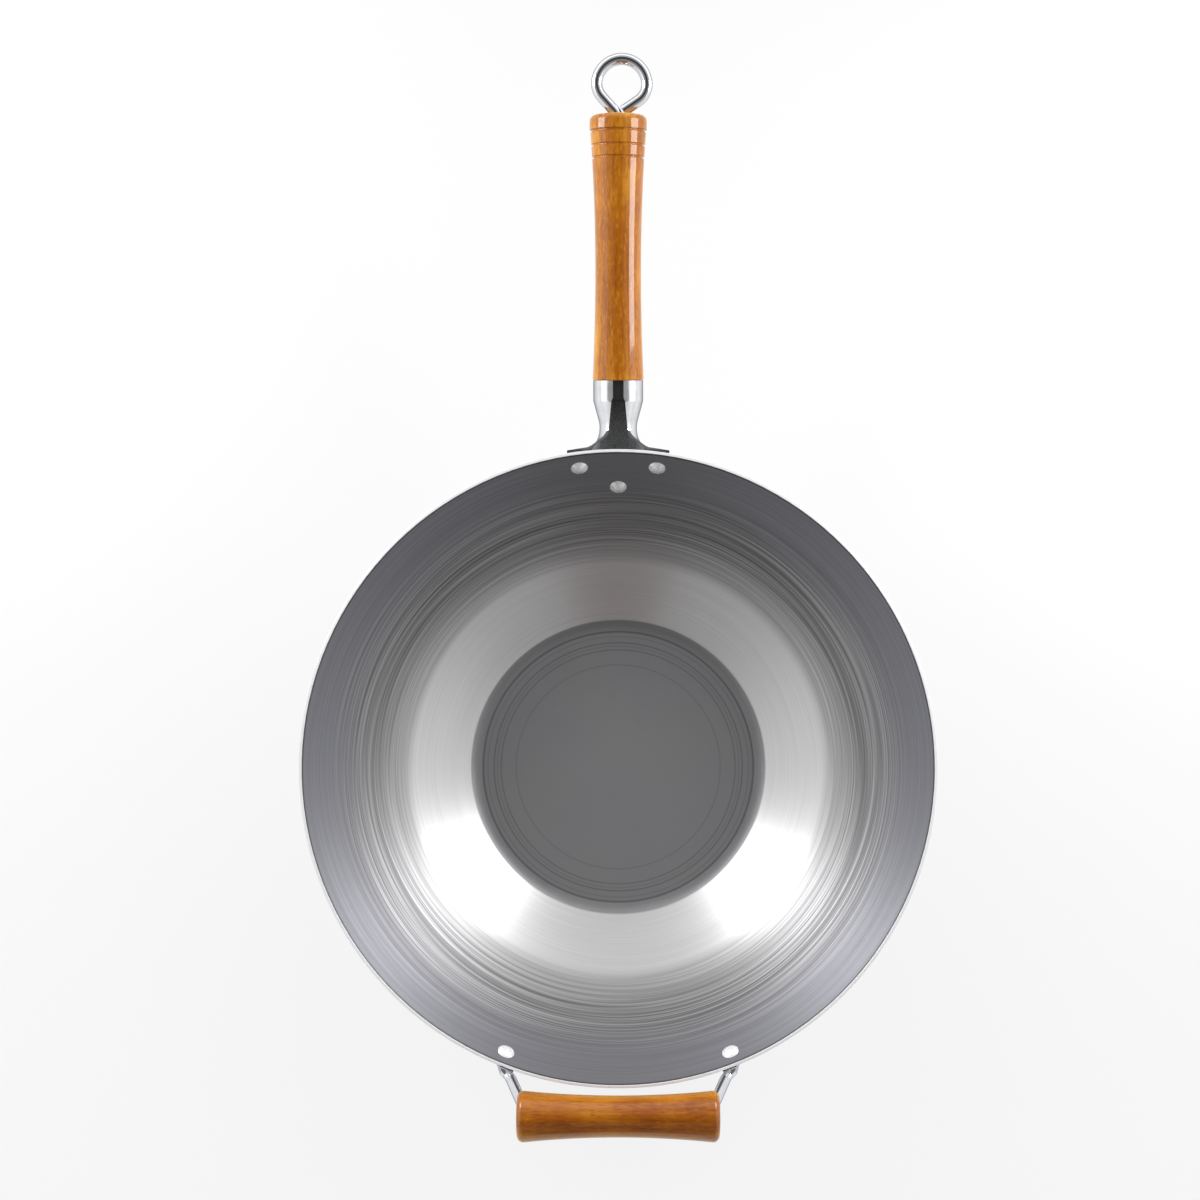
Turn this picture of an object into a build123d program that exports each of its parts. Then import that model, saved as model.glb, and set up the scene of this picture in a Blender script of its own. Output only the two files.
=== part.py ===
from build123d import *
import math
import os

# A carbon steel wok with a long wooden handle and a wooden helper handle, in millimetres.
# The origin is the centre of the flat base's underside. +Z is up, and the long handle
# points along +Y, so the helper handle is at -Y.

# Directions round the bowl, in degrees from +X
right_angle = 90.0
handle_azimuth = right_angle
helper_azimuth = -right_angle

# Bowl: one spun sheet with a flat base, a rounded corner and a wall that is one long arc
sheet_thickness = 1.5
rim_radius = 178.0
bowl_height = 96.0
base_radius = 82.2
corner_radius = 13.5
wall_dip_angle = 11.0
rim_edge_radius = 0.3

# Fits
seat_gap = 0.05
rivet_clearance = 0.05
thread_clearance = 0.03
bore_clearance = 0.2
overrun = 4.0

# Rivets: a wide domed head inside the bowl and a smaller formed head outside
rivet_shank_radius = 2.5
rivet_head_radius = 4.75
rivet_head_height = 1.7
rivet_tail_radius = 3.8
rivet_tail_height = 1.7

# Handle socket: a riveted flange that flares into an elbow and an open tube
socket_thickness = 1.5
handle_angle = 12.0
socket_depth = 3.6
elbow_radius = 20.0
neck_radius = 10.45
neck_length = 2.5
neck_bend_radius = 12.0
taper_length = 12.6
collar_radius = 13.9
collar_length = 11.2
collar_bend_radius = 2.0
flare_half_width = 17.6
flare_half_height = 13.4
flare_root_shares = (-0.4, 0.0, 0.5)
flare_radius = 5.0
mouth_depth = 0.6
mouth_setback_length = 0.9
mouth_edge_height = 8.7
mouth_end_angle = 38.0
slot_neck_width = 11.0
slot_shoulder_width = 7.6
slot_mouth_width = 5.9
wing_half_width = 28.0
flange_margin = 6.6
upper_rivet_spacing = 44.0
upper_rivet_depth = 10.8
lower_rivet_depth = 25.3

# Tie rod and hanging eye: one bent wire
rod_radius = 3.05
eye_radius = 13.7
eye_offset = 1.9
eye_distance = 15.2
eye_lean_angle = 43.0
eye_neck_radius = 8.0
eye_bend_radius = 10.0
eye_near_angle = 62.7
eye_ring_angle = 147.5
eye_end_angle = 69.6
eye_end_length = 9.8
rod_tip_chamfer = 0.6

# Threaded anchor in the mouth of the socket
anchor_length = 11.0
anchor_chamfer = 0.8
spigot_radius = 8.0
spigot_length = 5.0

# Wooden handle, turned
handle_length = 140.2
handle_foot_radius = 14.2
handle_waist_radius = 12.6
handle_waist_distance = 62.0
handle_shoulder_radius = 13.6
handle_shoulder_distance = 34.0
handle_cap_foot_radius = 15.2
handle_cap_radius = 15.5
handle_cap_length = 7.6
handle_end_radius = 3.2
handle_foot_edge = 0.5
first_groove_distance = 8.4
second_groove_distance = 15.7
third_groove_distance = 22.1
groove_width = 1.4
groove_depth = 0.9
eye_sink_radius = 6.4
eye_sink_depth = 4.2

# Helper bail: one bent wire with flattened ends
wire_radius = 3.05
bail_rivet_angle = 21.6
bail_rivet_depth = 9.6
tab_thickness = 3.0
tab_eye_radius = 5.6
tab_neck_radius = 3.6
tab_length = 12.7
tab_angle = 20.0
shoulder_length = 5.5
shoulder_angle = 44.0
bail_width = 98.4
bail_bend_radius = 7.0
grip_outward_distance = 10.4
grip_upward_distance = 24.5

# Helper grip, turned and slotted at both ends for the wire
grip_length = 109.8
grip_end_radius = 14.2
grip_waist_radius = 11.2
grip_edge_radius = 3.6
slot_clearance = 0.25


def polar(distance, angle):
    """A point in a plane at a distance and an angle in degrees."""
    return Vector(distance * math.cos(math.radians(angle)), distance * math.sin(math.radians(angle)))


def rising(distance, angle):
    """A point in the plane that cuts the wok through its long handle, at an angle above +Y."""
    return Vector(0, distance * math.cos(math.radians(angle)), distance * math.sin(math.radians(angle)))


# The wall's outside arc in the plane of radius and height: it leaves the corner flatter than
# the straight line from the base to the rim, by the dip angle, and ends at the rim.
wall_foot_angle = math.degrees(math.atan2(bowl_height, rim_radius - base_radius)) - wall_dip_angle
corner_outside_radius = corner_radius + sheet_thickness
wall_foot = Vector(base_radius, corner_outside_radius) + polar(corner_outside_radius, wall_foot_angle - right_angle)
wall_chord = Vector(rim_radius, bowl_height) - wall_foot
wall_half_turn = math.atan2(wall_chord.Y, wall_chord.X) - math.radians(wall_foot_angle)
wall_radius = wall_chord.length / (2 * math.sin(wall_half_turn))
wall_centre = wall_foot + polar(wall_radius, wall_foot_angle + right_angle)


def wall_at(depth, stand_off=0):
    """The point of radius and height on the wall's outside face, at a depth below the rim."""
    height = bowl_height - depth
    arc = wall_radius + stand_off
    return Vector(wall_centre.X + math.sqrt(arc**2 - (height - wall_centre.Y) ** 2), height)


def wall_edge(top_depth, bottom_depth, stand_off):
    """The wall's arc between two depths, moved out by a stand-off."""
    middle = (top_depth + bottom_depth) / 2
    return ThreePointArc(
        wall_at(bottom_depth, stand_off), wall_at(middle, stand_off), wall_at(top_depth, stand_off)
    )


def wall_plane(azimuth, depth, stand_off=0):
    """A plane on the wall's outside: x runs round the rim, y up the slope and z outwards."""
    spot = wall_at(depth)
    across = (spot - wall_centre) / wall_radius
    radial = polar(1, azimuth)
    outward = radial * across.X + Vector(0, 0, across.Y)
    origin = radial * spot.X + Vector(0, 0, spot.Y) + outward * stand_off
    return Plane(origin=origin, x_dir=polar(1, azimuth + right_angle), z_dir=outward)


def wall_band(inner, outer, top_depth, bottom_depth):
    """A slice of revolution round the handle's side of the wall, between two stand-offs."""
    low_side = Line(wall_at(bottom_depth, inner), wall_at(bottom_depth, outer))
    high_side = Line(wall_at(top_depth, inner), wall_at(top_depth, outer))
    inner_edge = wall_edge(top_depth, bottom_depth, inner)
    outer_edge = wall_edge(top_depth, bottom_depth, outer)
    face = make_face([low_side, outer_edge, high_side, inner_edge])
    return Rot(Z=60) * revolve(Plane.XZ * face, axis=Axis.Z, revolution_arc=60)


# The rivets: name, azimuth round the bowl and depth below the rim
upper_azimuth = math.degrees(math.asin(upper_rivet_spacing / 2 / wall_at(upper_rivet_depth).X))
socket_rivets = {
    "socket_rivet_left": (handle_azimuth + upper_azimuth, upper_rivet_depth),
    "socket_rivet_right": (handle_azimuth - upper_azimuth, upper_rivet_depth),
    "socket_rivet_lower": (handle_azimuth, lower_rivet_depth),
}
bail_rivets = {
    "bail_rivet_left": (helper_azimuth - bail_rivet_angle, bail_rivet_depth),
    "bail_rivet_right": (helper_azimuth + bail_rivet_angle, bail_rivet_depth),
}

# The socket's elbow leaves the wall square to it and turns up into the handle's direction
socket_foot = wall_plane(handle_azimuth, socket_depth)
handle_direction = rising(1, handle_angle)
elbow_angle = handle_angle - math.degrees(math.atan2(socket_foot.z_dir.Z, socket_foot.z_dir.Y))
elbow_centre = socket_foot.origin + socket_foot.y_dir * elbow_radius
socket_root = elbow_centre + rising(elbow_radius, handle_angle - right_angle)
handle_axis = Axis(socket_root, handle_direction)
socket_reach = neck_length + taper_length + collar_length
# Across the handle: x runs along it and y up. Over the handle: x runs right and y along it.
side_plane = Plane(origin=socket_root, x_dir=handle_direction, z_dir=(1, 0, 0))
top_plane = Plane(origin=socket_root, x_dir=(1, 0, 0), z_dir=side_plane.y_dir)
handle_foot = socket_reach + seat_gap
handle_end = handle_foot + handle_length

# The helper grip's axis and the bail's corners on it
grip_centre = Vector(0, -rim_radius - grip_outward_distance, bowl_height + grip_upward_distance)
bail_corner = grip_centre - Vector(bail_width / 2, 0, 0)
left_tab_plane = wall_plane(*bail_rivets["bail_rivet_left"], stand_off=seat_gap)


def rivet_hole(azimuth, depth):
    """A clearance hole through the wall and whatever is riveted to it."""
    hole = Cylinder(rivet_shank_radius + rivet_clearance, 4 * overrun)
    return wall_plane(azimuth, depth) * hole


def bowl():
    """The spun sheet with its five rivet holes."""
    inner_foot = Vector(base_radius, corner_outside_radius) + polar(corner_radius, wall_foot_angle - right_angle)
    outside = [
        Line((0, 0), (base_radius, 0)),
        JernArc((base_radius, 0), (1, 0), corner_outside_radius, wall_foot_angle),
        wall_edge(0, bowl_height - wall_foot.Y, 0),
    ]
    rim = Line(wall_at(0), wall_at(0, -sheet_thickness))
    inside = [
        wall_edge(0, bowl_height - inner_foot.Y, -sheet_thickness),
        JernArc((base_radius, sheet_thickness), (1, 0), corner_radius, wall_foot_angle),
        Line((0, sheet_thickness), (base_radius, sheet_thickness)),
    ]
    axis_line = Line((0, 0), (0, sheet_thickness))
    profile = make_face([*outside, rim, *inside, axis_line])
    body = revolve(Plane.XZ * profile, axis=Axis.Z)
    rim_edges = body.edges().filter_by(GeomType.CIRCLE).group_by(Axis.Z)[-1]
    body = fillet(rim_edges, rim_edge_radius)
    for place in [*socket_rivets.values(), *bail_rivets.values()]:
        body -= rivet_hole(*place)
    return body


def dome(foot_radius, height, seat, direction):
    """The outline of a round-topped head from its top on the axis to its foot on the seat."""
    cap_radius = (foot_radius**2 + height**2) / (2 * height)
    slope = math.asin(foot_radius / cap_radius)
    middle = polar(cap_radius, right_angle - math.degrees(slope) / 2)
    middle_height = height - cap_radius + middle.Y
    return ThreePointArc(
        (0, seat + direction * height), (middle.X, seat + direction * middle_height), (foot_radius, seat)
    )


def rivet(azimuth, depth, grip):
    """A solid rivet through the wall and a grip of other sheet, in the wall's own plane.

    The heads are lifted by the wall's curve under them, so that their rims just touch it.
    """
    lift = seat_gap + rivet_head_radius**2 / (2 * rim_radius)
    head_seat = -sheet_thickness - lift
    tail_seat = grip + lift
    head = dome(rivet_head_radius, rivet_head_height, head_seat, direction=-1)
    tail = dome(rivet_tail_radius, rivet_tail_height, tail_seat, direction=1)
    shank = Polyline(
        head @ 1, (rivet_shank_radius, head_seat), (rivet_shank_radius, tail_seat), tail @ 1
    )
    core = Line(tail @ 0, head @ 0)
    solid = revolve(Plane.XZ * make_face([head, shank, tail, core]), axis=Axis.Z)
    return wall_plane(azimuth, depth) * solid


def turning(outline, start, end):
    """A solid of revolution about the handle's axis, under an outline from start to end."""
    ends = Polyline(outline @ 1, (end, 0), (start, 0), outline @ 0)
    return revolve(side_plane * make_face([outline, ends]), axis=handle_axis)


def flare_section(share, inset):
    """An oval section of the tube at a share of the elbow, from the wall at 0 to the neck at 1.

    It widens towards the wall. Shares below 0 are inside the wall, where the tube is straight.
    """
    flare_share = (1 - share) ** 2
    half_width = neck_radius + (flare_half_width - neck_radius) * flare_share
    half_height = neck_radius + (flare_half_height - neck_radius) * flare_share
    turned = handle_angle - elbow_angle * (1 - max(share, 0))
    centre = elbow_centre + rising(elbow_radius, turned - right_angle)
    centre += socket_foot.z_dir * (min(share, 0) * elbow_radius * math.radians(elbow_angle))
    place = Plane(origin=centre, x_dir=(1, 0, 0), z_dir=rising(1, turned))
    return place * Ellipse(half_width - inset, half_height - inset)


def socket_tube(inset, end):
    """The socket's tube as a filled body with its skin moved in: the flared elbow, the neck,
    the taper and the collar."""
    sections = [flare_section(share, inset) for share in flare_root_shares]
    root = Plane(origin=socket_root, x_dir=(1, 0, 0), z_dir=handle_direction) * Circle(neck_radius - inset)
    bent = loft([*sections, root])
    outline = FilletPolyline(
        (0, neck_radius - inset),
        (neck_length, neck_radius - inset),
        (neck_length + taper_length, collar_radius - inset),
        (end, collar_radius - inset),
        radius=(neck_bend_radius, collar_bend_radius),
    )
    return bent + turning(outline, 0, end)


def flared(tube, block, radius):
    """A tube joined to the block that it leaves, with the corner between them rounded."""
    joined = tube + block
    return fillet(new_edges(tube, block, combined=joined), radius)


def wall_block(stand_off):
    """What lies inside a stand-off from the wall's outside, round the socket."""
    return wall_band(-2 * neck_radius, stand_off, -2 * elbow_radius, lower_rivet_depth + elbow_radius)


def flange_outline():
    """The flange seen along +Y: a hull round its three rivets and the ends of its two wings."""
    circles = [Pos(side * (wing_half_width - flange_margin), bowl_height + elbow_radius) for side in (-1, 1)]
    for place in socket_rivets.values():
        spot = wall_plane(*place, stand_off=seat_gap + socket_thickness).origin
        circles.append(Pos(spot.X, spot.Z))
    return make_hull([(place * Circle(flange_margin)).edge() for place in circles])


def above_mouth():
    """The space over the cut that opens the top of the flare, up to where the slot begins."""
    wall_top = Vector(0, wall_at(mouth_depth).X, bowl_height - mouth_depth)
    start = wall_top - Vector(0, neck_radius, 0)
    end = socket_root - handle_direction * mouth_setback_length + side_plane.y_dir * mouth_edge_height
    top = end + rising(2 * elbow_radius, handle_angle + mouth_end_angle)
    edge = Polyline(start, wall_top, end, top, start + Vector(0, 0, 2 * elbow_radius), close=True)
    return extrude(make_face(edge), amount=2 * wing_half_width, both=True)


def slot_cut():
    """The slot along the top of the tube, narrow at the mouth and wide at the neck."""
    shoulder = neck_length + taper_length
    right = [
        (slot_neck_width / 2, -neck_length),
        (slot_shoulder_width / 2, shoulder),
        (slot_mouth_width / 2, shoulder + collar_bend_radius),
        (slot_mouth_width / 2, socket_reach + overrun),
    ]
    left = [(-x, y) for x, y in reversed(right)]
    return extrude(top_plane * make_face(Polyline(*right, *left, close=True)), amount=2 * collar_radius)


def handle_socket():
    """The pressed socket: riveted flange, flared trough, neck, taper and slotted collar."""
    plate_face = seat_gap + socket_thickness
    outer_tube = socket_tube(0, socket_reach)
    inner_tube = socket_tube(socket_thickness, socket_reach + overrun)
    body = flared(outer_tube, wall_block(plate_face), flare_radius)
    hollow = flared(inner_tube, wall_block(seat_gap), flare_radius + socket_thickness)
    body &= extrude(Plane.XZ * flange_outline(), amount=-2 * rim_radius)
    body = body - above_mouth() - slot_cut() - hollow
    for place in socket_rivets.values():
        body -= rivet_hole(*place)
    return body


def handle_anchor():
    """The threaded plug in the collar, with a spigot that centres the wood."""
    plug_radius = collar_radius - socket_thickness - seat_gap
    start = socket_reach - anchor_length
    outline = Polyline(
        (start, plug_radius - anchor_chamfer),
        (start + anchor_chamfer, plug_radius),
        (socket_reach, plug_radius),
        (socket_reach, spigot_radius),
        (socket_reach + spigot_length - anchor_chamfer, spigot_radius),
        (socket_reach + spigot_length, spigot_radius - anchor_chamfer),
    )
    plug = turning(outline, start, socket_reach + spigot_length)
    return plug - along_handle(rod_radius + thread_clearance, start - overrun, handle_foot + handle_length)


def along_handle(radius, start, end):
    """A cylinder on the handle's axis."""
    outline = Line((start, radius), (end, radius))
    return turning(outline, start, end)


def groove(from_end):
    """A round-bottomed groove turned into the handle at a distance from its end."""
    centre = handle_end - from_end
    skin = handle_skin_radius(from_end)
    ring = Pos(centre, skin + groove_width / 2 - groove_depth) * Circle(groove_width / 2)
    return revolve(side_plane * ring, axis=handle_axis)


def handle_skin_radius(from_end):
    """The handle's radius beside its cap, where the grooves are: a straight flare."""
    flare_length = handle_shoulder_distance - handle_cap_length
    share = (handle_shoulder_distance - max(from_end, handle_cap_length)) / flare_length
    return handle_shoulder_radius + share * (handle_cap_foot_radius - handle_shoulder_radius)


def handle_grip():
    """The turned wood: waisted, flared to a thicker cap, grooved and bored for the tie rod."""
    waist = handle_foot + handle_waist_distance
    shoulder = handle_end - handle_shoulder_distance
    cap = handle_end - handle_cap_length
    edge = handle_foot_edge
    foot = [
        Line((handle_foot, handle_foot_radius - edge), (handle_foot + edge, handle_foot_radius)),
        Spline(
            (handle_foot + edge, handle_foot_radius),
            (waist, handle_waist_radius),
            (shoulder, handle_shoulder_radius),
            (cap, handle_cap_foot_radius),
        ),
    ]
    end = [
        Line((cap, handle_cap_foot_radius), (cap, handle_cap_radius)),
        Line((cap, handle_cap_radius), (handle_end - handle_end_radius, handle_cap_radius)),
        JernArc(
            (handle_end - handle_end_radius, handle_cap_radius), (1, 0), handle_end_radius, -right_angle
        ),
    ]
    close = Polyline(end[-1] @ 1, (handle_end, 0), (handle_foot, 0), foot[0] @ 0)
    wood = revolve(side_plane * make_face([*foot, *end, close]), axis=handle_axis)
    wood -= along_handle(rod_radius + bore_clearance, handle_foot - overrun, handle_end + overrun)
    wood -= along_handle(
        spigot_radius + bore_clearance, handle_foot - overrun, handle_foot + spigot_length + bore_clearance
    )
    for from_end in (first_groove_distance, second_groove_distance, third_groove_distance):
        wood -= groove(from_end)
    return wood - eye_sink()


def eye_sink():
    """The countersink in the handle's end that the eye's bend sits in."""
    start = handle_end - eye_sink_depth
    end = handle_end + overrun
    outline = Polyline((start, rod_radius), (handle_end, eye_sink_radius), (end, eye_sink_radius))
    return turning(outline, start, end)


def eye_path():
    """The wire's centre line over the handle's plane: shank, neck, eye and returned end.

    The near side of the eye leans over the shank's line and the far side is bent in to meet it.
    Both sides join the ring through a tighter bend, which makes the eye a teardrop.
    """
    centre = Vector(eye_offset, handle_end + eye_distance)
    lean = Vector(-math.sin(math.radians(eye_lean_angle)), math.cos(math.radians(eye_lean_angle)))
    bend_centre = centre - polar(eye_radius - eye_bend_radius, eye_lean_angle - eye_near_angle)
    touch = bend_centre - polar(eye_bend_radius, eye_lean_angle)
    corner = touch - lean * (touch.X / lean.X)
    tangent = eye_neck_radius * math.tan(math.radians(eye_lean_angle / 2))
    shank = Line((0, socket_reach - anchor_length), corner - Vector(0, tangent))
    neck = JernArc(shank @ 1, (0, 1), eye_neck_radius, eye_lean_angle)
    strand = Line(neck @ 1, touch)
    near_bend = JernArc(touch, lean, eye_bend_radius, -eye_near_angle)
    ring = JernArc(near_bend @ 1, near_bend % 1, eye_radius, -eye_ring_angle)
    far_bend = JernArc(ring @ 1, ring % 1, eye_bend_radius, -eye_end_angle)
    end = Line(far_bend @ 1, (far_bend @ 1) + (far_bend % 1) * eye_end_length)
    return shank + neck + strand + near_bend + ring + far_bend + end


def hanging_eye():
    """The tie rod, bent into a teardrop eye at its outer end."""
    path = top_plane * eye_path()
    start = path @ 0
    section = Plane(origin=start, x_dir=(1, 0, 0), z_dir=handle_direction) * Circle(rod_radius)
    wire = sweep(section, path=path)
    tip = wire.faces().filter_by(GeomType.PLANE).sort_by(Axis.Y)[0]
    return chamfer(tip.edges(), rod_tip_chamfer)


def tab_step(distance, twist):
    """A step over the bail's left tab, turned from up the slope towards the middle."""
    step = polar(distance, right_angle - twist)
    return left_tab_plane.x_dir * step.X + left_tab_plane.y_dir * step.Y


# Where the flat tab's middle ends and where the round wire begins
tab_middle = left_tab_plane.origin + left_tab_plane.z_dir * (tab_thickness / 2)
shoulder_foot = tab_middle + tab_step(tab_length, tab_angle)
wire_start = shoulder_foot + tab_step(shoulder_length, shoulder_angle)
bail_leg = (bail_corner - wire_start).normalized()


def bail_tab():
    """The wire's flattened left end, and the forged shoulder where it turns round again."""
    neck = Pos(polar(tab_length, right_angle - tab_angle)) * Circle(tab_neck_radius)
    outline = make_hull([Circle(tab_eye_radius).edge(), neck.edge()])
    plate = extrude(left_tab_plane * outline, amount=tab_thickness)
    outward = left_tab_plane.z_dir
    along = tab_step(1, tab_angle)
    flat_end = Plane(origin=shoulder_foot, x_dir=along.cross(outward), z_dir=along)
    round_end = Plane(origin=wire_start, x_dir=bail_leg.cross(outward), z_dir=bail_leg)
    flat_section = flat_end * Ellipse(tab_neck_radius, tab_thickness / 2)
    return plate + loft([flat_section, round_end * Circle(wire_radius)])


def helper_bail():
    """The bent wire: tabs on the wall, legs that lean together and a bar through the grip."""
    left_points = [wire_start, bail_corner]
    right_points = [Vector(-point.X, point.Y, point.Z) for point in reversed(left_points)]
    path = FilletPolyline(*left_points, *right_points, radius=bail_bend_radius)
    wire = sweep(Plane(origin=wire_start, z_dir=bail_leg) * Circle(wire_radius), path=path)
    left = bail_tab()
    bail = wire + left + mirror(left, about=Plane.YZ)
    for place in bail_rivets.values():
        bail -= rivet_hole(*place)
    return bail


def helper_grip():
    """The turned bobbin, bored for the wire and slotted at its ends for the wire's bends."""
    half = grip_length / 2
    edge = ThreePointArc((-half, grip_end_radius), (0, grip_waist_radius), (half, grip_end_radius))
    rest = Polyline(edge @ 1, (half, 0), (-half, 0), edge @ 0)
    wood = Pos(grip_centre) * revolve(make_face([edge, rest]), axis=Axis.X)
    rims = wood.edges().filter_by(GeomType.CIRCLE)
    wood = fillet(rims, grip_edge_radius)
    bore_radius = wire_radius + slot_clearance
    wood -= Pos(grip_centre) * Rot(Y=right_angle) * Cylinder(bore_radius, grip_length + overrun)
    for side in (-1, 1):
        wood -= grip_slot(side, bore_radius)
    return wood


def grip_slot(side, half_width):
    """The open slot at one end of the grip, facing down the bail's leg."""
    downwards = Vector(0, -bail_leg.Y, -bail_leg.Z)
    inner_end = bail_width / 2 - bail_bend_radius
    length = grip_length / 2 + overrun - inner_end
    middle = grip_centre + Vector(side * (inner_end + length / 2), 0, 0)
    section = Plane(origin=middle, x_dir=(1, 0, 0), z_dir=downwards) * Rectangle(length, 2 * half_width)
    return extrude(section, amount=grip_end_radius + overrun)


def write(name, shape):
    """Write one piece to its own file."""
    export_step(shape, f"parts/{name}.step")


def main():
    """Build every piece and write it under the name of the piece."""
    os.makedirs("parts", exist_ok=True)
    write("bowl", bowl())
    write("handle_socket", handle_socket())
    write("handle_anchor", handle_anchor())
    write("handle_grip", handle_grip())
    write("hanging_eye", hanging_eye())
    write("helper_bail", helper_bail())
    write("helper_grip", helper_grip())
    for name, place in socket_rivets.items():
        write(name, rivet(*place, grip=seat_gap + socket_thickness))
    for name, place in bail_rivets.items():
        write(name, rivet(*place, grip=seat_gap + tab_thickness))


if __name__ == "__main__":
    main()
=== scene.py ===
import math

import bpy
from mathutils import Matrix, Vector

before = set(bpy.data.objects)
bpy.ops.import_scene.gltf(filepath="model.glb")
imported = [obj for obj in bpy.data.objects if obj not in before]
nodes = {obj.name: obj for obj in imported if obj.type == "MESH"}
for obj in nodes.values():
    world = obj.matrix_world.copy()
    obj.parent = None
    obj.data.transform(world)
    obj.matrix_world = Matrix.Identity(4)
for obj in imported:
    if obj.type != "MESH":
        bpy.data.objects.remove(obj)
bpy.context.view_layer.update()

# Lengths are in metres and places in the frame of the CAD model: +Z is up out of the bowl, and
# +Y runs along the long handle. Colours are in linear light.
RIM_HEIGHT = 0.096
RIM_RADIUS = 0.178
HANDLE_ROOT = (0, 0.190336, 0.089977)
HANDLE_RISE = math.radians(12.0)
ALONG_HANDLE = (0, math.cos(HANDLE_RISE), math.sin(HANDLE_RISE))
ALONG_HELPER = (1, 0, 0)

# The photograph's camera: it looks straight down from nearly over the middle of the bowl, and
# the picture is cropped round the whole wok, so its axis falls below the picture's centre.
CAMERA_SPOT = Vector((0, 0.012, 1.0 + RIM_HEIGHT))
LENS_MM = 53.94
SENSOR_MM = 36.0
PICTURE_SIDE = 1200.0
AXIS_RIGHT_OF_CENTRE = 18.2
AXIS_BELOW_CENTRE = 147.1

# Radii at which the bowl's finish changes, from its middle to its rim
BASE_RING = 0.0822
BASE_END = 0.0893
SATIN_END = 0.1235
SMOOTH_FROM = 0.148
SMOOTH_TO = 0.166
# A thin line of painted shade just inside the rim, where the inner edge rounds over, lies at this
# radius
DARK_LINE = RIM_RADIUS - 0.0021

# The turned rings of the base: the width of the main one, and the faint ones inside it, each
# with its radius and how dark it is
RING_WIDTH = 0.0011
FAINT_RING_WIDTH = 0.0007
FAINT_RINGS = ((0.0793, 0.4), (0.0755, 0.8), (0.0735, 0.35), (0.0712, 0.7), (0.0621, 0.45))

# How far apart the lines of the spun steel are
FINE_SPACING = 0.0006
SCORED_SPACING = 0.0012

# Colours of the bowl. Where there are two or three, a noise runs through them in this order.
SATIN = ((0.80, 0.80, 0.805), (0.89, 0.89, 0.895))
LINED = ((0.225, 0.225, 0.229), (0.355, 0.355, 0.361), (0.53, 0.53, 0.537))
SMOOTH = ((0.285, 0.287, 0.312), (0.34, 0.342, 0.37))
DISC = ((0.53, 0.53, 0.53), (0.50, 0.50, 0.535))
DISC_FLECK = (0.62, 0.62, 0.63)
# Painted shade for the base's rounded corner
PAINTED_CORNER_SHADE = (0.33, 0.33, 0.338)
RING_GREY = (0.2, 0.2, 0.205)
# Painted shade for the thin line just inside the rim
PAINTED_RIM_SHADE_GREY = (0.08, 0.08, 0.085)
CUT_EDGE = (0.93, 0.93, 0.94)

# Colours of the fittings
WIRE = (0.80, 0.81, 0.84)
RIVET = (0.97, 0.97, 0.975)
PLATE = ((0.74, 0.75, 0.77), (0.84, 0.85, 0.87))
TROUGH = ((0.32, 0.322, 0.322), (0.74, 0.742, 0.742))
BLACK_PLUG = ((0.02, 0.02, 0.021), (0.05, 0.05, 0.051))
# A dark tint for what plated metal reflects at a grazing angle, which paints shade along the outlines
# of the plated parts
DARK_EDGE_SHADE_TINT = (0.25, 0.26, 0.29)

# Colours of the two pieces of wood, from dark to light. The helper's are darker than the long handle's
# as painted shade, for the dimmer south side where it lies.
HANDLE_WOOD = ((0.29, 0.07, 0.002), (0.46, 0.142, 0.004), (0.70, 0.30, 0.018))
SHADED_HELPER_WOOD = ((0.20, 0.042, 0.0015), (0.34, 0.09, 0.003), (0.50, 0.175, 0.009))
SHEEN = (1.0, 0.7, 0.1)

WHITE = (1.0, 1.0, 1.0)
FLOOR = (0.82, 0.82, 0.82)
FLOOR_GLOW_SHARE = 0.8
FLOOR_SIDE = 30.0

# How bright each part of the studio is. South is the helper handle's side.
SOUTH_BAND = 0.6
SIDE_BAND = 1.4
NORTH_EAST_AND_WEST_EXTRA = 0.45
SOUTH_STRIP = 0.18
SOUTH_SKY = 0.24
NORTH_SKY = 0.52
ZENITH = 0.06
HORIZON = 0.9

# Nearly all of a noise lies between these two values
NOISE_LOW = 0.3
NOISE_HIGH = 0.7
# The height in metres of a bump of full strength
FINE_BUMP = 0.0001
COARSE_BUMP = 0.0002


def opaque(colour):
    """A colour with the alpha that Blender's colour sockets need."""
    return (*colour, 1.0)


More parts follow.
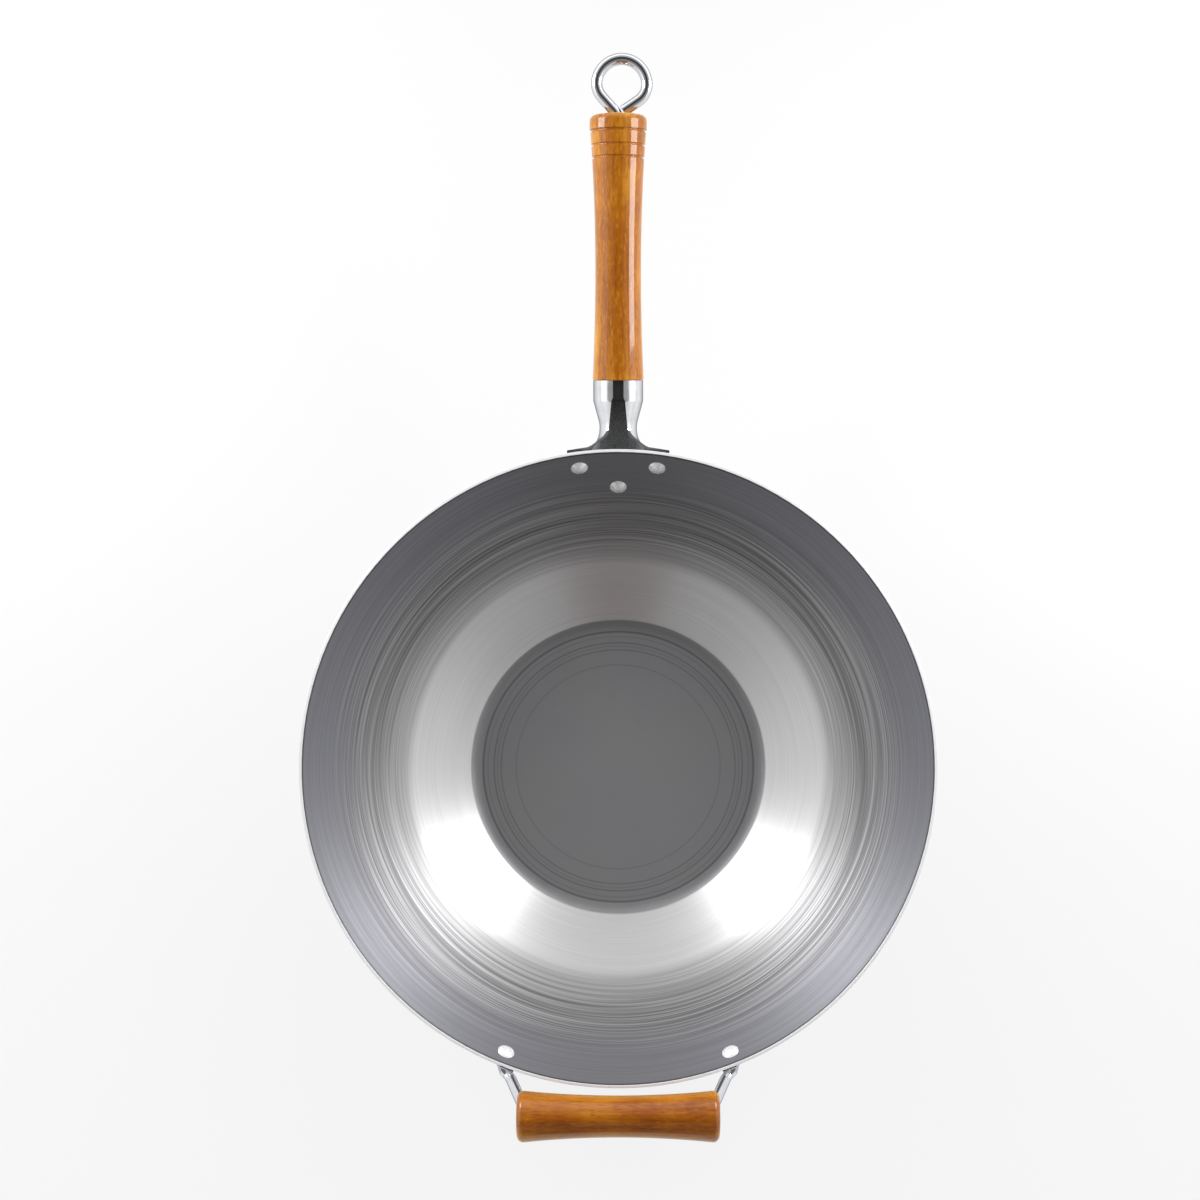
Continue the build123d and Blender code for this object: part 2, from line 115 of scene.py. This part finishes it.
class Graph:
    """A small helper that adds nodes to one material or world and links them."""

    def __init__(self, owner):
        owner.use_nodes = True
        self.tree = owner.node_tree
        self.tree.nodes.clear()

    def add(self, kind, inputs=None, **settings):
        """A node with its settings and its inputs, given as values or as other sockets."""
        node = self.tree.nodes.new(kind)
        for name, value in settings.items():
            setattr(node, name, value)
        for name, value in (inputs or {}).items():
            socket = node.inputs[name]
            if isinstance(value, bpy.types.NodeSocket):
                self.tree.links.new(value, socket)
            else:
                socket.default_value = value
        return node

    def math(self, operation, first, second=0.0):
        node = self.add("ShaderNodeMath", {0: first, 1: second}, operation=operation)
        return node.outputs[0]

    def vector(self, operation, first, second=(0, 0, 0)):
        node = self.add("ShaderNodeVectorMath", {0: first, 1: second}, operation=operation)
        gives_a_number = operation in ("LENGTH", "DOT_PRODUCT")
        return node.outputs["Value" if gives_a_number else "Vector"]

    def stretch(self, vector, factor):
        """A vector times a number."""
        node = self.add("ShaderNodeVectorMath", {0: vector, "Scale": factor}, operation="SCALE")
        return node.outputs["Vector"]

    def step(self, value, low, high):
        """0 below low, 1 above high and a smooth ramp between. High may be the smaller one."""
        inputs = {"Value": value, "From Min": low, "From Max": high}
        node = self.add("ShaderNodeMapRange", inputs, interpolation_type="SMOOTHSTEP")
        return node.outputs["Result"]

    def spread(self, noise, to_low, to_high):
        """A noise spread over the range from to_low to to_high."""
        inputs = {"Value": noise, "From Min": NOISE_LOW, "From Max": NOISE_HIGH}
        inputs.update({"To Min": to_low, "To Max": to_high})
        return self.add("ShaderNodeMapRange", inputs).outputs["Result"]

    def mix(self, share, first, second):
        """The first colour where the share is 0, and the second where it is 1."""
        node = self.add("ShaderNodeMix", {0: share, 6: first, 7: second}, data_type="RGBA")
        return node.outputs[2]

    def mix_value(self, share, first, second):
        """The first number where the share is 0, and the second where it is 1."""
        node = self.add("ShaderNodeMix", {0: share, 2: first, 3: second}, data_type="FLOAT")
        return node.outputs[0]

    def ramp(self, value, colours, low=NOISE_LOW, high=NOISE_HIGH):
        """A colour ramp with its colours evenly spaced from low to high."""
        node = self.add("ShaderNodeValToRGB", {"Fac": value})
        elements = node.color_ramp.elements
        while len(elements) < len(colours):
            elements.new(0.5)
        gap = (high - low) / (len(colours) - 1)
        for index, colour in enumerate(colours):
            elements[index].position = low + gap * index
            elements[index].color = opaque(colour)
        return node.outputs["Color"]

    def noise(self, vector, scale, detail, roughness=0.5, distortion=0.0):
        """A noise whose scale is the number of its grains in a metre."""
        inputs = {"Vector": vector, "Scale": scale, "Detail": detail}
        inputs.update({"Roughness": roughness, "Distortion": distortion})
        return self.add("ShaderNodeTexNoise", inputs).outputs["Fac"]

    def combine(self, x, y, z):
        return self.add("ShaderNodeCombineXYZ", {0: x, 1: y, 2: z}).outputs[0]

    def split(self, vector):
        node = self.add("ShaderNodeSeparateXYZ", {0: vector})
        return node.outputs[0], node.outputs[1], node.outputs[2]

    def bump(self, height, strength, distance):
        inputs = {"Height": height, "Strength": strength, "Distance": distance}
        return self.add("ShaderNodeBump", inputs).outputs["Normal"]

    def place(self):
        """The point in the CAD frame: a node's object sits at the origin."""
        return self.add("ShaderNodeTexCoord").outputs["Object"]

    def true_normal(self):
        return self.add("ShaderNodeNewGeometry").outputs["True Normal"]

    def surface(self, inputs):
        """A Principled surface as the material's output."""
        shader = self.add("ShaderNodeBsdfPrincipled", inputs)
        self.add("ShaderNodeOutputMaterial", {"Surface": shader.outputs[0]})


def new_material(name):
    material = bpy.data.materials.new(name)
    return material, Graph(material)


def spun_lines(graph, x, y, radius, spacing, waviness):
    """Noise drawn out round the bowl's axis, as lines a spacing apart."""
    never_zero = graph.math("MAXIMUM", radius, 0.0001)
    across = graph.math("DIVIDE", radius, spacing)
    cosine = graph.math("MULTIPLY", graph.math("DIVIDE", x, never_zero), waviness)
    sine = graph.math("MULTIPLY", graph.math("DIVIDE", y, never_zero), waviness)
    return graph.noise(graph.combine(across, cosine, sine), 1.0, detail=1.0, roughness=0.55)


def ring(graph, radius, at, width):
    """1 on a ring of one radius, falling to 0 a width away on both sides."""
    off = graph.math("ABSOLUTE", graph.math("SUBTRACT", radius, at))
    return graph.step(off, width, 0.0)


def lined_share(graph, radius):
    """0 on the inside's satin band, rising to 1 towards the rim, and 1 all over the underside."""
    sharp = graph.step(radius, SATIN_END - 0.004, SATIN_END + 0.004)
    gradual = graph.step(radius, SATIN_END - 0.002, SATIN_END + 0.022)
    _, _, facing_up = graph.split(graph.true_normal())
    underside = graph.step(facing_up, 0.02, -0.02)
    return graph.math("MAXIMUM", graph.mix_value(0.5, sharp, gradual), underside)


def wall_colour(graph, radius, lined, lines):
    """Satin next to the base, then grey lines, then a smoother bluish band at the rim."""
    grey_lines = graph.ramp(lines, LINED, 0.36, 0.64)
    smoothness = graph.step(radius, SMOOTH_FROM, SMOOTH_TO)
    upper = graph.mix(smoothness, grey_lines, graph.ramp(lines, SMOOTH))
    return graph.mix(lined, graph.ramp(lines, SATIN), upper)


def disc_colour(graph, radius, place, grain):
    """The base's matt grey with faint clouds and flecks, and painted shade darkening its rounded
    corner.
    """
    clouds = graph.noise(place, 14.0, detail=1.0)
    disc = graph.mix(clouds, opaque(DISC[0]), opaque(DISC[1]))
    flecks = graph.math("MULTIPLY", graph.step(grain, 0.55, 0.75), 0.3)
    disc = graph.mix(flecks, disc, opaque(DISC_FLECK))
    # Painted shade darkens the rounded corner between the base and the wall
    corner = graph.step(radius, BASE_RING, BASE_END - 0.002)
    return graph.mix(corner, disc, opaque(PAINTED_CORNER_SHADE))


def turned_rings(graph, radius):
    """How dark the turned rings make the base at a radius."""
    dark = ring(graph, radius, BASE_RING, RING_WIDTH)
    for at, share in FAINT_RINGS:
        faint = graph.math("MULTIPLY", ring(graph, radius, at, FAINT_RING_WIDTH), share)
        dark = graph.math("MAXIMUM", dark, faint)
    return graph.math("MULTIPLY", dark, 0.7)


def painted_rim_shade_line(graph, radius, z):
    """How dark the thin line of painted shade is that runs just inside the rim's edge."""
    line = ring(graph, radius, DARK_LINE, FAINT_RING_WIDTH)
    near_rim = graph.step(z, RIM_HEIGHT - 0.008, RIM_HEIGHT - 0.006)
    return graph.math("MULTIPLY", graph.math("MULTIPLY", line, near_rim), 0.8)


def spun_tangent(graph, place, base):
    """Gloss drawn out round the bowl's axis on the wall, and alike every way on the base."""
    round_axis = graph.add("ShaderNodeTangent", direction_type="RADIAL", axis="Z").outputs[0]
    colours = graph.add("ShaderNodeTexNoise", {"Vector": place, "Scale": 3000.0, "Detail": 0.0})
    every_way = graph.vector("SUBTRACT", colours.outputs["Color"], (0.5, 0.5, 0.5))
    inputs = {0: base, 4: round_axis, 5: every_way}
    return graph.add("ShaderNodeMix", inputs, data_type="VECTOR").outputs[1]


def carbon_steel():
    """Bare spun steel, with a matt base, a satin and a lined wall and a bright cut edge, and painted
    shade on the base's rounded corner and just inside the rim.
    """
    material, graph = new_material("spun_carbon_steel")
    place = graph.place()
    x, y, z = graph.split(place)
    radius = graph.vector("LENGTH", graph.combine(x, y, 0.0))
    fine = spun_lines(graph, x, y, radius, FINE_SPACING, 1.0)
    scored = spun_lines(graph, x, y, radius, SCORED_SPACING, 0.8)
    lines = graph.math("ADD", graph.math("MULTIPLY", fine, 0.6), graph.math("MULTIPLY", scored, 0.4))
    grain = graph.noise(place, 1400.0, detail=3.0, roughness=0.6)

    lined = lined_share(graph, radius)
    base = graph.step(radius, BASE_END + 0.0006, BASE_END - 0.0006)
    cut = graph.step(z, RIM_HEIGHT - 0.0003, RIM_HEIGHT - 0.0001)

    wall = wall_colour(graph, radius, lined, lines)
    colour = graph.mix(base, wall, disc_colour(graph, radius, place, grain))
    colour = graph.mix(turned_rings(graph, radius), colour, opaque(RING_GREY))
    # Painted shade: a thin dark line just inside the rim
    colour = graph.mix(painted_rim_shade_line(graph, radius, z), colour, opaque(PAINTED_RIM_SHADE_GREY))
    colour = graph.mix(cut, colour, opaque(CUT_EDGE))

    wall_roughness = graph.mix_value(lined, 0.40, graph.spread(fine, 0.56, 0.48))
    both_lines = graph.math("ADD", fine, scored)
    wall_height = graph.math("MULTIPLY", both_lines, graph.mix_value(lined, 0.12, 0.6))
    height = graph.mix_value(base, wall_height, graph.math("MULTIPLY", grain, 0.3))
    graph.surface(
        {
            "Base Color": colour,
            "Metallic": graph.mix_value(cut, 1.0, 0.25),
            "Roughness": graph.mix_value(base, wall_roughness, 0.44),
            "Anisotropic": 0.75,
            "Anisotropic Rotation": 0.25,
            "Tangent": spun_tangent(graph, place, base),
            "Normal": graph.bump(height, 0.25, FINE_BUMP),
        }
    )
    return material


def bright_metal(name, colour, metallic, roughness, wear_scale):
    """Polished or plated steel that is a little darker and duller where it is worn."""
    material, graph = new_material(name)
    wear = graph.noise(graph.place(), wear_scale, detail=6.0, roughness=0.65)
    worn_colour = tuple(0.93 * part for part in colour)
    worn_roughness = 1.7 * roughness
    graph.surface(
        {
            "Base Color": graph.ramp(wear, (worn_colour, colour)),
            "Metallic": metallic,
            # The dark grazing tint paints shade along the outlines
            "Specular Tint": opaque(DARK_EDGE_SHADE_TINT),
            "Roughness": graph.spread(wear, roughness, worn_roughness),
            "Normal": graph.bump(wear, 0.06, FINE_BUMP),
        }
    )
    return material


def trough_share(graph, place):
    """1 where the socket's sheet faces its own axis, which is the inside of the trough."""
    offset = graph.vector("SUBTRACT", place, HANDLE_ROOT)
    distance = graph.vector("DOT_PRODUCT", offset, ALONG_HANDLE)
    on_axis = graph.stretch(ALONG_HANDLE, distance)
    outward = graph.vector("NORMALIZE", graph.vector("SUBTRACT", offset, on_axis))
    facing_out = graph.vector("DOT_PRODUCT", graph.true_normal(), outward)
    return graph.step(facing_out, -0.45, -0.6)


def socket_steel():
    """Bright plate outside, and the dull grainy inside of the pressing."""
    material, graph = new_material("pressed_socket")
    place = graph.place()
    trough = trough_share(graph, place)
    grain = graph.noise(place, 1500.0, detail=4.0, roughness=0.7)
    wear = graph.noise(place, 260.0, detail=6.0, roughness=0.65)
    plate = graph.ramp(wear, PLATE)
    dull = graph.ramp(grain, TROUGH, 0.35, 0.65)
    graph.surface(
        {
            "Base Color": graph.mix(trough, plate, dull),
            "Metallic": graph.mix_value(trough, 1.0, 0.0),
            # The dark grazing tint paints shade along the outlines
            "Specular Tint": opaque(DARK_EDGE_SHADE_TINT),
            "Roughness": graph.mix_value(trough, graph.spread(wear, 0.12, 0.22), 0.6),
            "Normal": graph.bump(grain, graph.mix_value(trough, 0.0, 0.5), COARSE_BUMP),
        }
    )
    return material


def drawn_out(graph, place, along, share):
    """The place with a share of its distance along a direction taken out, to draw noise out."""
    distance = graph.vector("DOT_PRODUCT", place, along)
    back = graph.math("MULTIPLY", distance, -share)
    return graph.vector("ADD", place, graph.stretch(along, back))


def wood_colour(graph, place, along, streaks, shades):
    """Growth, streaks and blotches along the grain, with dark and light flecks."""
    dark, _, light = shades
    growth = graph.noise(drawn_out(graph, place, along, 0.94), 95.0, 3.0, distortion=0.6)
    blotches = graph.noise(place, 45.0, detail=3.0, roughness=0.55)
    tone = graph.math("ADD", graph.math("MULTIPLY", growth, 0.45), graph.math("MULTIPLY", streaks, 0.3))
    tone = graph.math("ADD", tone, graph.math("MULTIPLY", blotches, 0.25))
    colour = graph.ramp(tone, shades, 0.38, 0.62)

    flecks = graph.noise(drawn_out(graph, place, along, 0.72), 900.0, detail=2.0)
    dark_flecks = graph.math("MULTIPLY", graph.step(flecks, 0.55, 0.68), 0.4)
    light_flecks = graph.math("MULTIPLY", graph.step(flecks, 0.44, 0.32), 0.35)
    darkest = tuple(0.75 * part for part in dark)
    colour = graph.mix(dark_flecks, colour, opaque(darkest))
    return graph.mix(light_flecks, colour, opaque(light))


def lacquered_wood(name, along, shades, shift):
    """Hardwood under clear lacquer, with its grain along a direction."""
    material, graph = new_material(name)
    place = graph.vector("ADD", graph.place(), shift)
    drawn = drawn_out(graph, place, along, 0.94)
    streaks = graph.noise(drawn, 420.0, detail=5.0, roughness=0.65, distortion=0.3)
    graph.surface(
        {
            "Base Color": wood_colour(graph, place, along, streaks, shades),
            "Roughness": graph.spread(streaks, 0.42, 0.52),
            "Specular IOR Level": 0.1,
            "Coat Weight": 0.85,
            "Coat Roughness": 0.05,
            "Coat IOR": 1.5,
            "Sheen Weight": 0.4,
            "Sheen Roughness": 0.45,
            "Sheen Tint": opaque(SHEEN),
            "Normal": graph.bump(streaks, 0.12, COARSE_BUMP),
        }
    )
    return material


def near_black_plug_metal():
    """The dull dark plug inside the socket's collar."""
    material, graph = new_material("black_plug")
    grain = graph.noise(graph.place(), 1800.0, detail=4.0, roughness=0.6)
    graph.surface(
        {
            "Base Color": graph.ramp(grain, BLACK_PLUG),
            "Metallic": 0.5,
            "Roughness": graph.spread(grain, 0.45, 0.65),
            "Normal": graph.bump(grain, 0.3, FINE_BUMP),
        }
    )
    return material


def dress(material, *names):
    """Give CAD nodes a material in their own slots."""
    for name in names:
        slots = nodes[name].data.materials
        slots.clear()
        slots.append(material)


def dress_all():
    """The finish of every piece."""
    plated_wire = bright_metal("plated_wire", WIRE, metallic=1.0, roughness=0.045, wear_scale=300.0)
    rivet_steel = bright_metal("rivet_steel", RIVET, metallic=0.35, roughness=0.2, wear_scale=700.0)
    dress(carbon_steel(), "bowl")
    dress(socket_steel(), "handle_socket")
    dress(plated_wire, "hanging_eye", "helper_bail")
    dress(rivet_steel, "socket_rivet_left", "socket_rivet_right", "socket_rivet_lower")
    dress(rivet_steel, "bail_rivet_left", "bail_rivet_right")
    dress(near_black_plug_metal(), "handle_anchor")
    # Each piece of wood takes its grain from its own part of the noise
    handle_wood = lacquered_wood("handle_wood", ALONG_HANDLE, HANDLE_WOOD, (0.1, 0.2, 0.3))
    # The helper's darker wood carries painted shade
    helper_wood = lacquered_wood("helper_wood", ALONG_HELPER, SHADED_HELPER_WOOD, (0.4, 0.1, 0.2))
    dress(handle_wood, "handle_grip")
    dress(helper_wood, "helper_grip")


def pale_floor():
    """A wide floor that reads as white and keeps the object's shadow."""
    bpy.ops.mesh.primitive_plane_add(size=FLOOR_SIDE, location=(0, 0, 0))
    floor = bpy.context.object
    floor.name = "pale_floor"
    material, graph = new_material("pale_floor")
    diffuse = graph.add("ShaderNodeBsdfDiffuse", {"Color": opaque(FLOOR)}).outputs[0]
    glow = graph.add("ShaderNodeEmission", {"Color": opaque(WHITE), "Strength": 1.0}).outputs[0]
    path = graph.add("ShaderNodeLightPath")
    seen = graph.math("MAXIMUM", path.outputs["Is Camera Ray"], path.outputs["Is Glossy Ray"])
    seen = graph.math("MAXIMUM", seen, path.outputs["Is Transmission Ray"])
    share = graph.math("MULTIPLY", seen, FLOOR_GLOW_SHARE)
    mixed = graph.add("ShaderNodeMixShader", {0: share, 1: diffuse, 2: glow})
    graph.add("ShaderNodeOutputMaterial", {"Surface": mixed.outputs[0]})
    floor.data.materials.append(material)


def band_strength(graph, north):
    """The band over the horizon: north is 1 by the long handle and -1 by the helper handle."""
    band = graph.mix_value(graph.step(north, -0.93, -0.1), SOUTH_BAND, SIDE_BAND)
    shoulders = graph.math("MULTIPLY", graph.step(north, -0.15, 0.5), graph.step(north, 1.0, 0.75))
    extra = graph.math("MULTIPLY", shoulders, NORTH_EAST_AND_WEST_EXTRA)
    due_south = graph.step(north, -0.955, -0.975)
    return graph.mix_value(due_south, graph.math("ADD", band, extra), SOUTH_STRIP)


def studio_world():
    """A bright band over the horizon, dimmer in the south, under a grey sky with a dark zenith."""
    world = bpy.data.worlds.new("studio")
    bpy.context.scene.world = world
    graph = Graph(world)
    direction = graph.add("ShaderNodeTexCoord").outputs["Generated"]
    x, y, z = graph.split(direction)
    across = graph.math("MAXIMUM", graph.vector("LENGTH", graph.combine(x, y, 0.0)), 0.01)
    north = graph.math("DIVIDE", y, across)
    low = graph.mix_value(graph.step(z, 0.02, 0.16), HORIZON, band_strength(graph, north))
    sky = graph.mix_value(graph.step(y, -0.6, 0.4), SOUTH_SKY, NORTH_SKY)
    high = graph.mix_value(graph.step(z, 0.9, 0.945), sky, ZENITH)
    strength = graph.mix_value(graph.step(z, 0.64, 0.54), high, low)
    background = graph.add("ShaderNodeBackground", {"Color": opaque(WHITE), "Strength": strength})
    graph.add("ShaderNodeOutputWorld", {"Surface": background.outputs[0]})


def facing(spot, direction, up):
    """A placement at a spot that looks along a direction, with the picture's top towards up."""
    back = -direction.normalized()
    right = up.cross(back).normalized()
    turn = Matrix((right, back.cross(right), back)).transposed()
    return Matrix.Translation(spot) @ turn.to_4x4()


def soft_box(name, azimuth, elevation, distance, width, height, radiance):
    """A rectangular lamp that faces the middle of the rim, with its angles in degrees."""
    angle = math.radians(azimuth)
    rise = math.radians(elevation)
    level = math.cos(rise)
    direction = Vector((math.cos(angle) * level, math.sin(angle) * level, math.sin(rise)))
    data = bpy.data.lights.new(name, "AREA")
    data.shape = "RECTANGLE"
    data.size = width
    data.size_y = height
    data.energy = radiance * math.pi * width * height
    lamp = bpy.data.objects.new(name, data)
    spot = direction * distance + Vector((0, 0, RIM_HEIGHT))
    lamp.matrix_world = facing(spot, -direction, Vector((0, 0, 1)))
    lamp.visible_camera = False
    bpy.context.collection.objects.link(lamp)


def lamps():
    """Two soft boxes, which make the two bright lobes in the bowl."""
    soft_box("soft_box_left", 142.0, 19.0, distance=0.75, width=0.28, height=0.34, radiance=9.0)
    soft_box("soft_box_right", 36.0, 19.0, distance=0.6, width=0.25, height=0.28, radiance=8.5)


def camera():
    """The photograph's viewpoint and crop."""
    data = bpy.data.cameras.new("photo_camera")
    data.lens = LENS_MM
    data.sensor_width = SENSOR_MM
    data.sensor_fit = "HORIZONTAL"
    data.shift_x = -AXIS_RIGHT_OF_CENTRE / PICTURE_SIDE
    data.shift_y = AXIS_BELOW_CENTRE / PICTURE_SIDE
    holder = bpy.data.objects.new("photo_camera", data)
    holder.matrix_world = facing(CAMERA_SPOT, Vector((0, 0, -1)), Vector((0, 1, 0)))
    bpy.context.collection.objects.link(holder)
    bpy.context.scene.camera = holder


bpy.context.scene.view_settings.view_transform = "Standard"
camera()
studio_world()
lamps()
pale_floor()
dress_all()
